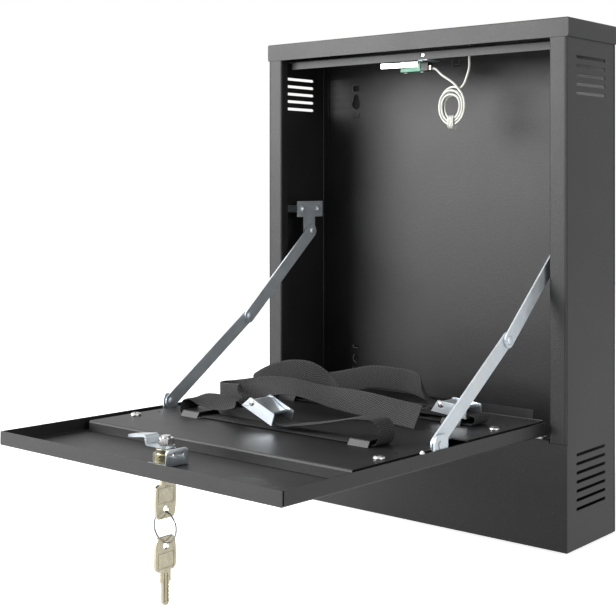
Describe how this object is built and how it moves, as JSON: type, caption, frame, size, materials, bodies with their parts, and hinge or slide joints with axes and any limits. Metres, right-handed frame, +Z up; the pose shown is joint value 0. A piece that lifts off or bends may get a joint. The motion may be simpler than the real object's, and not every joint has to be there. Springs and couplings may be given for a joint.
{
  "type": "dvr lock box",
  "caption": "Wall cabinet that locks up a video recorder: drop-down door with strap tray, folding stays, cam lock with keys, and a lock-operated tamper switch.",
  "frame": {"origin": "centre of the back panel's outer face, which goes against the wall", "axes": "+Z up, +Y into the wall, the front and the opened door face -Y, +X to the right seen from the front"},
  "size_m": [0.403, 0.5089, 0.5373],
  "materials": {
    "black_powder_coat": "fine texture, satin",
    "zinc_plated_steel": "satin",
    "bright_steel": "polished",
    "nickel_silver": "polished",
    "brass_barrel": "satin",
    "switch_green": "satin",
    "terminal_black": "satin",
    "lever_bright": "polished",
    "lead_white": "satin",
    "grommet_rubber": "matte",
    "tie_white": "satin",
    "bumper_white": "satin",
    "black_webbing": "woven"
  },
  "bodies": {
    "cabinet": {"back_panel": "black_powder_coat", "side_panel_left": "black_powder_coat", "side_panel_right": "black_powder_coat", "top_cover": "black_powder_coat", "bottom_panel": "black_powder_coat", "lower_front_panel": "black_powder_coat", "door_post_left": "black_powder_coat", "door_post_right": "black_powder_coat", "stop_angle": "black_powder_coat", "hinge_cabinet_leaf": "zinc_plated_steel", "hinge_pin": "bright_steel", "stay_bracket_left": "zinc_plated_steel", "stay_bracket_right": "zinc_plated_steel", "stay_upper_rivet_left": "zinc_plated_steel", "stay_upper_rivet_right": "zinc_plated_steel", "stay_standoff_left_front": "zinc_plated_steel", "stay_standoff_left_rear": "zinc_plated_steel", "stay_standoff_right_front": "zinc_plated_steel", "stay_standoff_right_rear": "zinc_plated_steel", "tamper_switch": "switch_green", "switch_bracket": "zinc_plated_steel", "switch_screw_1": "bright_steel", "switch_screw_2": "bright_steel", "switch_terminals": "terminal_black", "tamper_lead_coil": "lead_white", "tamper_lead_to_switch": "lead_white", "tamper_lead_to_grommet": "lead_white", "lead_grommet": "grommet_rubber", "lead_tie": "tie_white"},
    "door": {"door_panel": "black_powder_coat", "hinge_door_leaf": "zinc_plated_steel", "tray": "black_powder_coat", "tray_screw_1": "bright_steel", "tray_screw_2": "bright_steel", "tray_screw_3": "bright_steel", "tray_screw_4": "bright_steel", "stay_tab_left": "zinc_plated_steel", "stay_tab_right": "zinc_plated_steel", "stay_lower_rivet_left": "zinc_plated_steel", "stay_lower_rivet_right": "zinc_plated_steel", "lock_barrel": "brass_barrel", "lock_clip": "zinc_plated_steel", "rim_bumper": "bumper_white", "strap_front": "black_webbing", "strap_rear": "black_webbing", "buckle_frame_front": "zinc_plated_steel", "buckle_frame_rear": "zinc_plated_steel"},
    "lock_core": {"lock_plug": "bright_steel", "lock_cam": "zinc_plated_steel", "cam_nut": "bright_steel", "inserted_key": "nickel_silver"},
    "key_ring": {"key_ring": "bright_steel"},
    "spare_key": {"spare_key": "nickel_silver"},
    "tamper_lever": {"tamper_lever": "lever_bright"},
    "buckle_lever_front": {"buckle_lever_front": "zinc_plated_steel"},
    "buckle_lever_rear": {"buckle_lever_rear": "zinc_plated_steel"},
    "stay_upper_left": {"stay_upper_link_left": "zinc_plated_steel"},
    "stay_lower_left": {"stay_lower_link_left": "zinc_plated_steel"},
    "stay_upper_right": {"stay_upper_link_right": "zinc_plated_steel"},
    "stay_lower_right": {"stay_lower_link_right": "zinc_plated_steel"}
  },
  "joints": [
    {"name": "door_hinge", "type": "hinge", "parent": "cabinet", "child": "door", "pos_m": [0, -0.107, -0.155], "axis": [-1, 0, 0], "range_deg": [0, 89]},
    {"name": "stay_upper_pivot_left", "type": "hinge", "parent": "cabinet", "child": "stay_upper_left", "pos_m": [-0.173, -0.0594, 0.044], "axis": [1, 0, 0], "range_deg": [0, 68.14]},
    {"name": "stay_lower_pivot_left", "type": "hinge", "parent": "door", "child": "stay_lower_left", "pos_m": [-0.173, -0.29264, -0.13256], "axis": [-1, 0, 0], "range_deg": [0, 4.2]},
    {"name": "stay_upper_pivot_right", "type": "hinge", "parent": "cabinet", "child": "stay_upper_right", "pos_m": [0.173, -0.0594, 0.044], "axis": [1, 0, 0], "range_deg": [0, 68.14]},
    {"name": "stay_lower_pivot_right", "type": "hinge", "parent": "door", "child": "stay_lower_right", "pos_m": [0.173, -0.29264, -0.13256], "axis": [-1, 0, 0], "range_deg": [0, 4.2]},
    {"name": "lock_turn", "type": "hinge", "parent": "door", "child": "lock_core", "pos_m": [0, -0.46241, -0.1468], "axis": [0, 0.0175, 0.9998], "range_deg": [0, 90]},
    {"name": "key_ring_swing", "type": "hinge", "parent": "lock_core", "child": "key_ring", "pos_m": [0, -0.46312, -0.18749], "axis": [1, 0, 0], "range_deg": [-30, 30]},
    {"name": "spare_key_swing", "type": "hinge", "parent": "key_ring", "child": "spare_key", "pos_m": [0, -0.46312, -0.21509], "axis": [1, 0, 0], "range_deg": [-30, 30]},
    {"name": "tamper_lever_press", "type": "hinge", "parent": "cabinet", "child": "tamper_lever", "pos_m": [-0.0002, -0.0781, 0.2346], "axis": [0, 0, -1], "range_deg": [0, 7], "stiffness_Nm_per_rad": 0.02},
    {"name": "buckle_lever_turn_front", "type": "hinge", "parent": "door", "child": "buckle_lever_front", "pos_m": [-0.02077, -0.31379, -0.11272], "axis": [0, -0.9998, 0.0175], "range_deg": [0, 50], "stiffness_Nm_per_rad": 0.02},
    {"name": "buckle_lever_turn_rear", "type": "hinge", "parent": "door", "child": "buckle_lever_rear", "pos_m": [0.09474, -0.15845, -0.12246], "axis": [0, -0.9998, 0.0175], "range_deg": [0, 50], "stiffness_Nm_per_rad": 0.02}
  ],
  "couplings": [
    {"joint": "stay_upper_pivot_left", "follows": "door_hinge", "ratio": 0.76508},
    {"joint": "stay_lower_pivot_left", "follows": "door_hinge", "ratio": 0.046644},
    {"joint": "stay_upper_pivot_right", "follows": "door_hinge", "ratio": 0.76508},
    {"joint": "stay_lower_pivot_right", "follows": "door_hinge", "ratio": 0.046644}
  ]
}
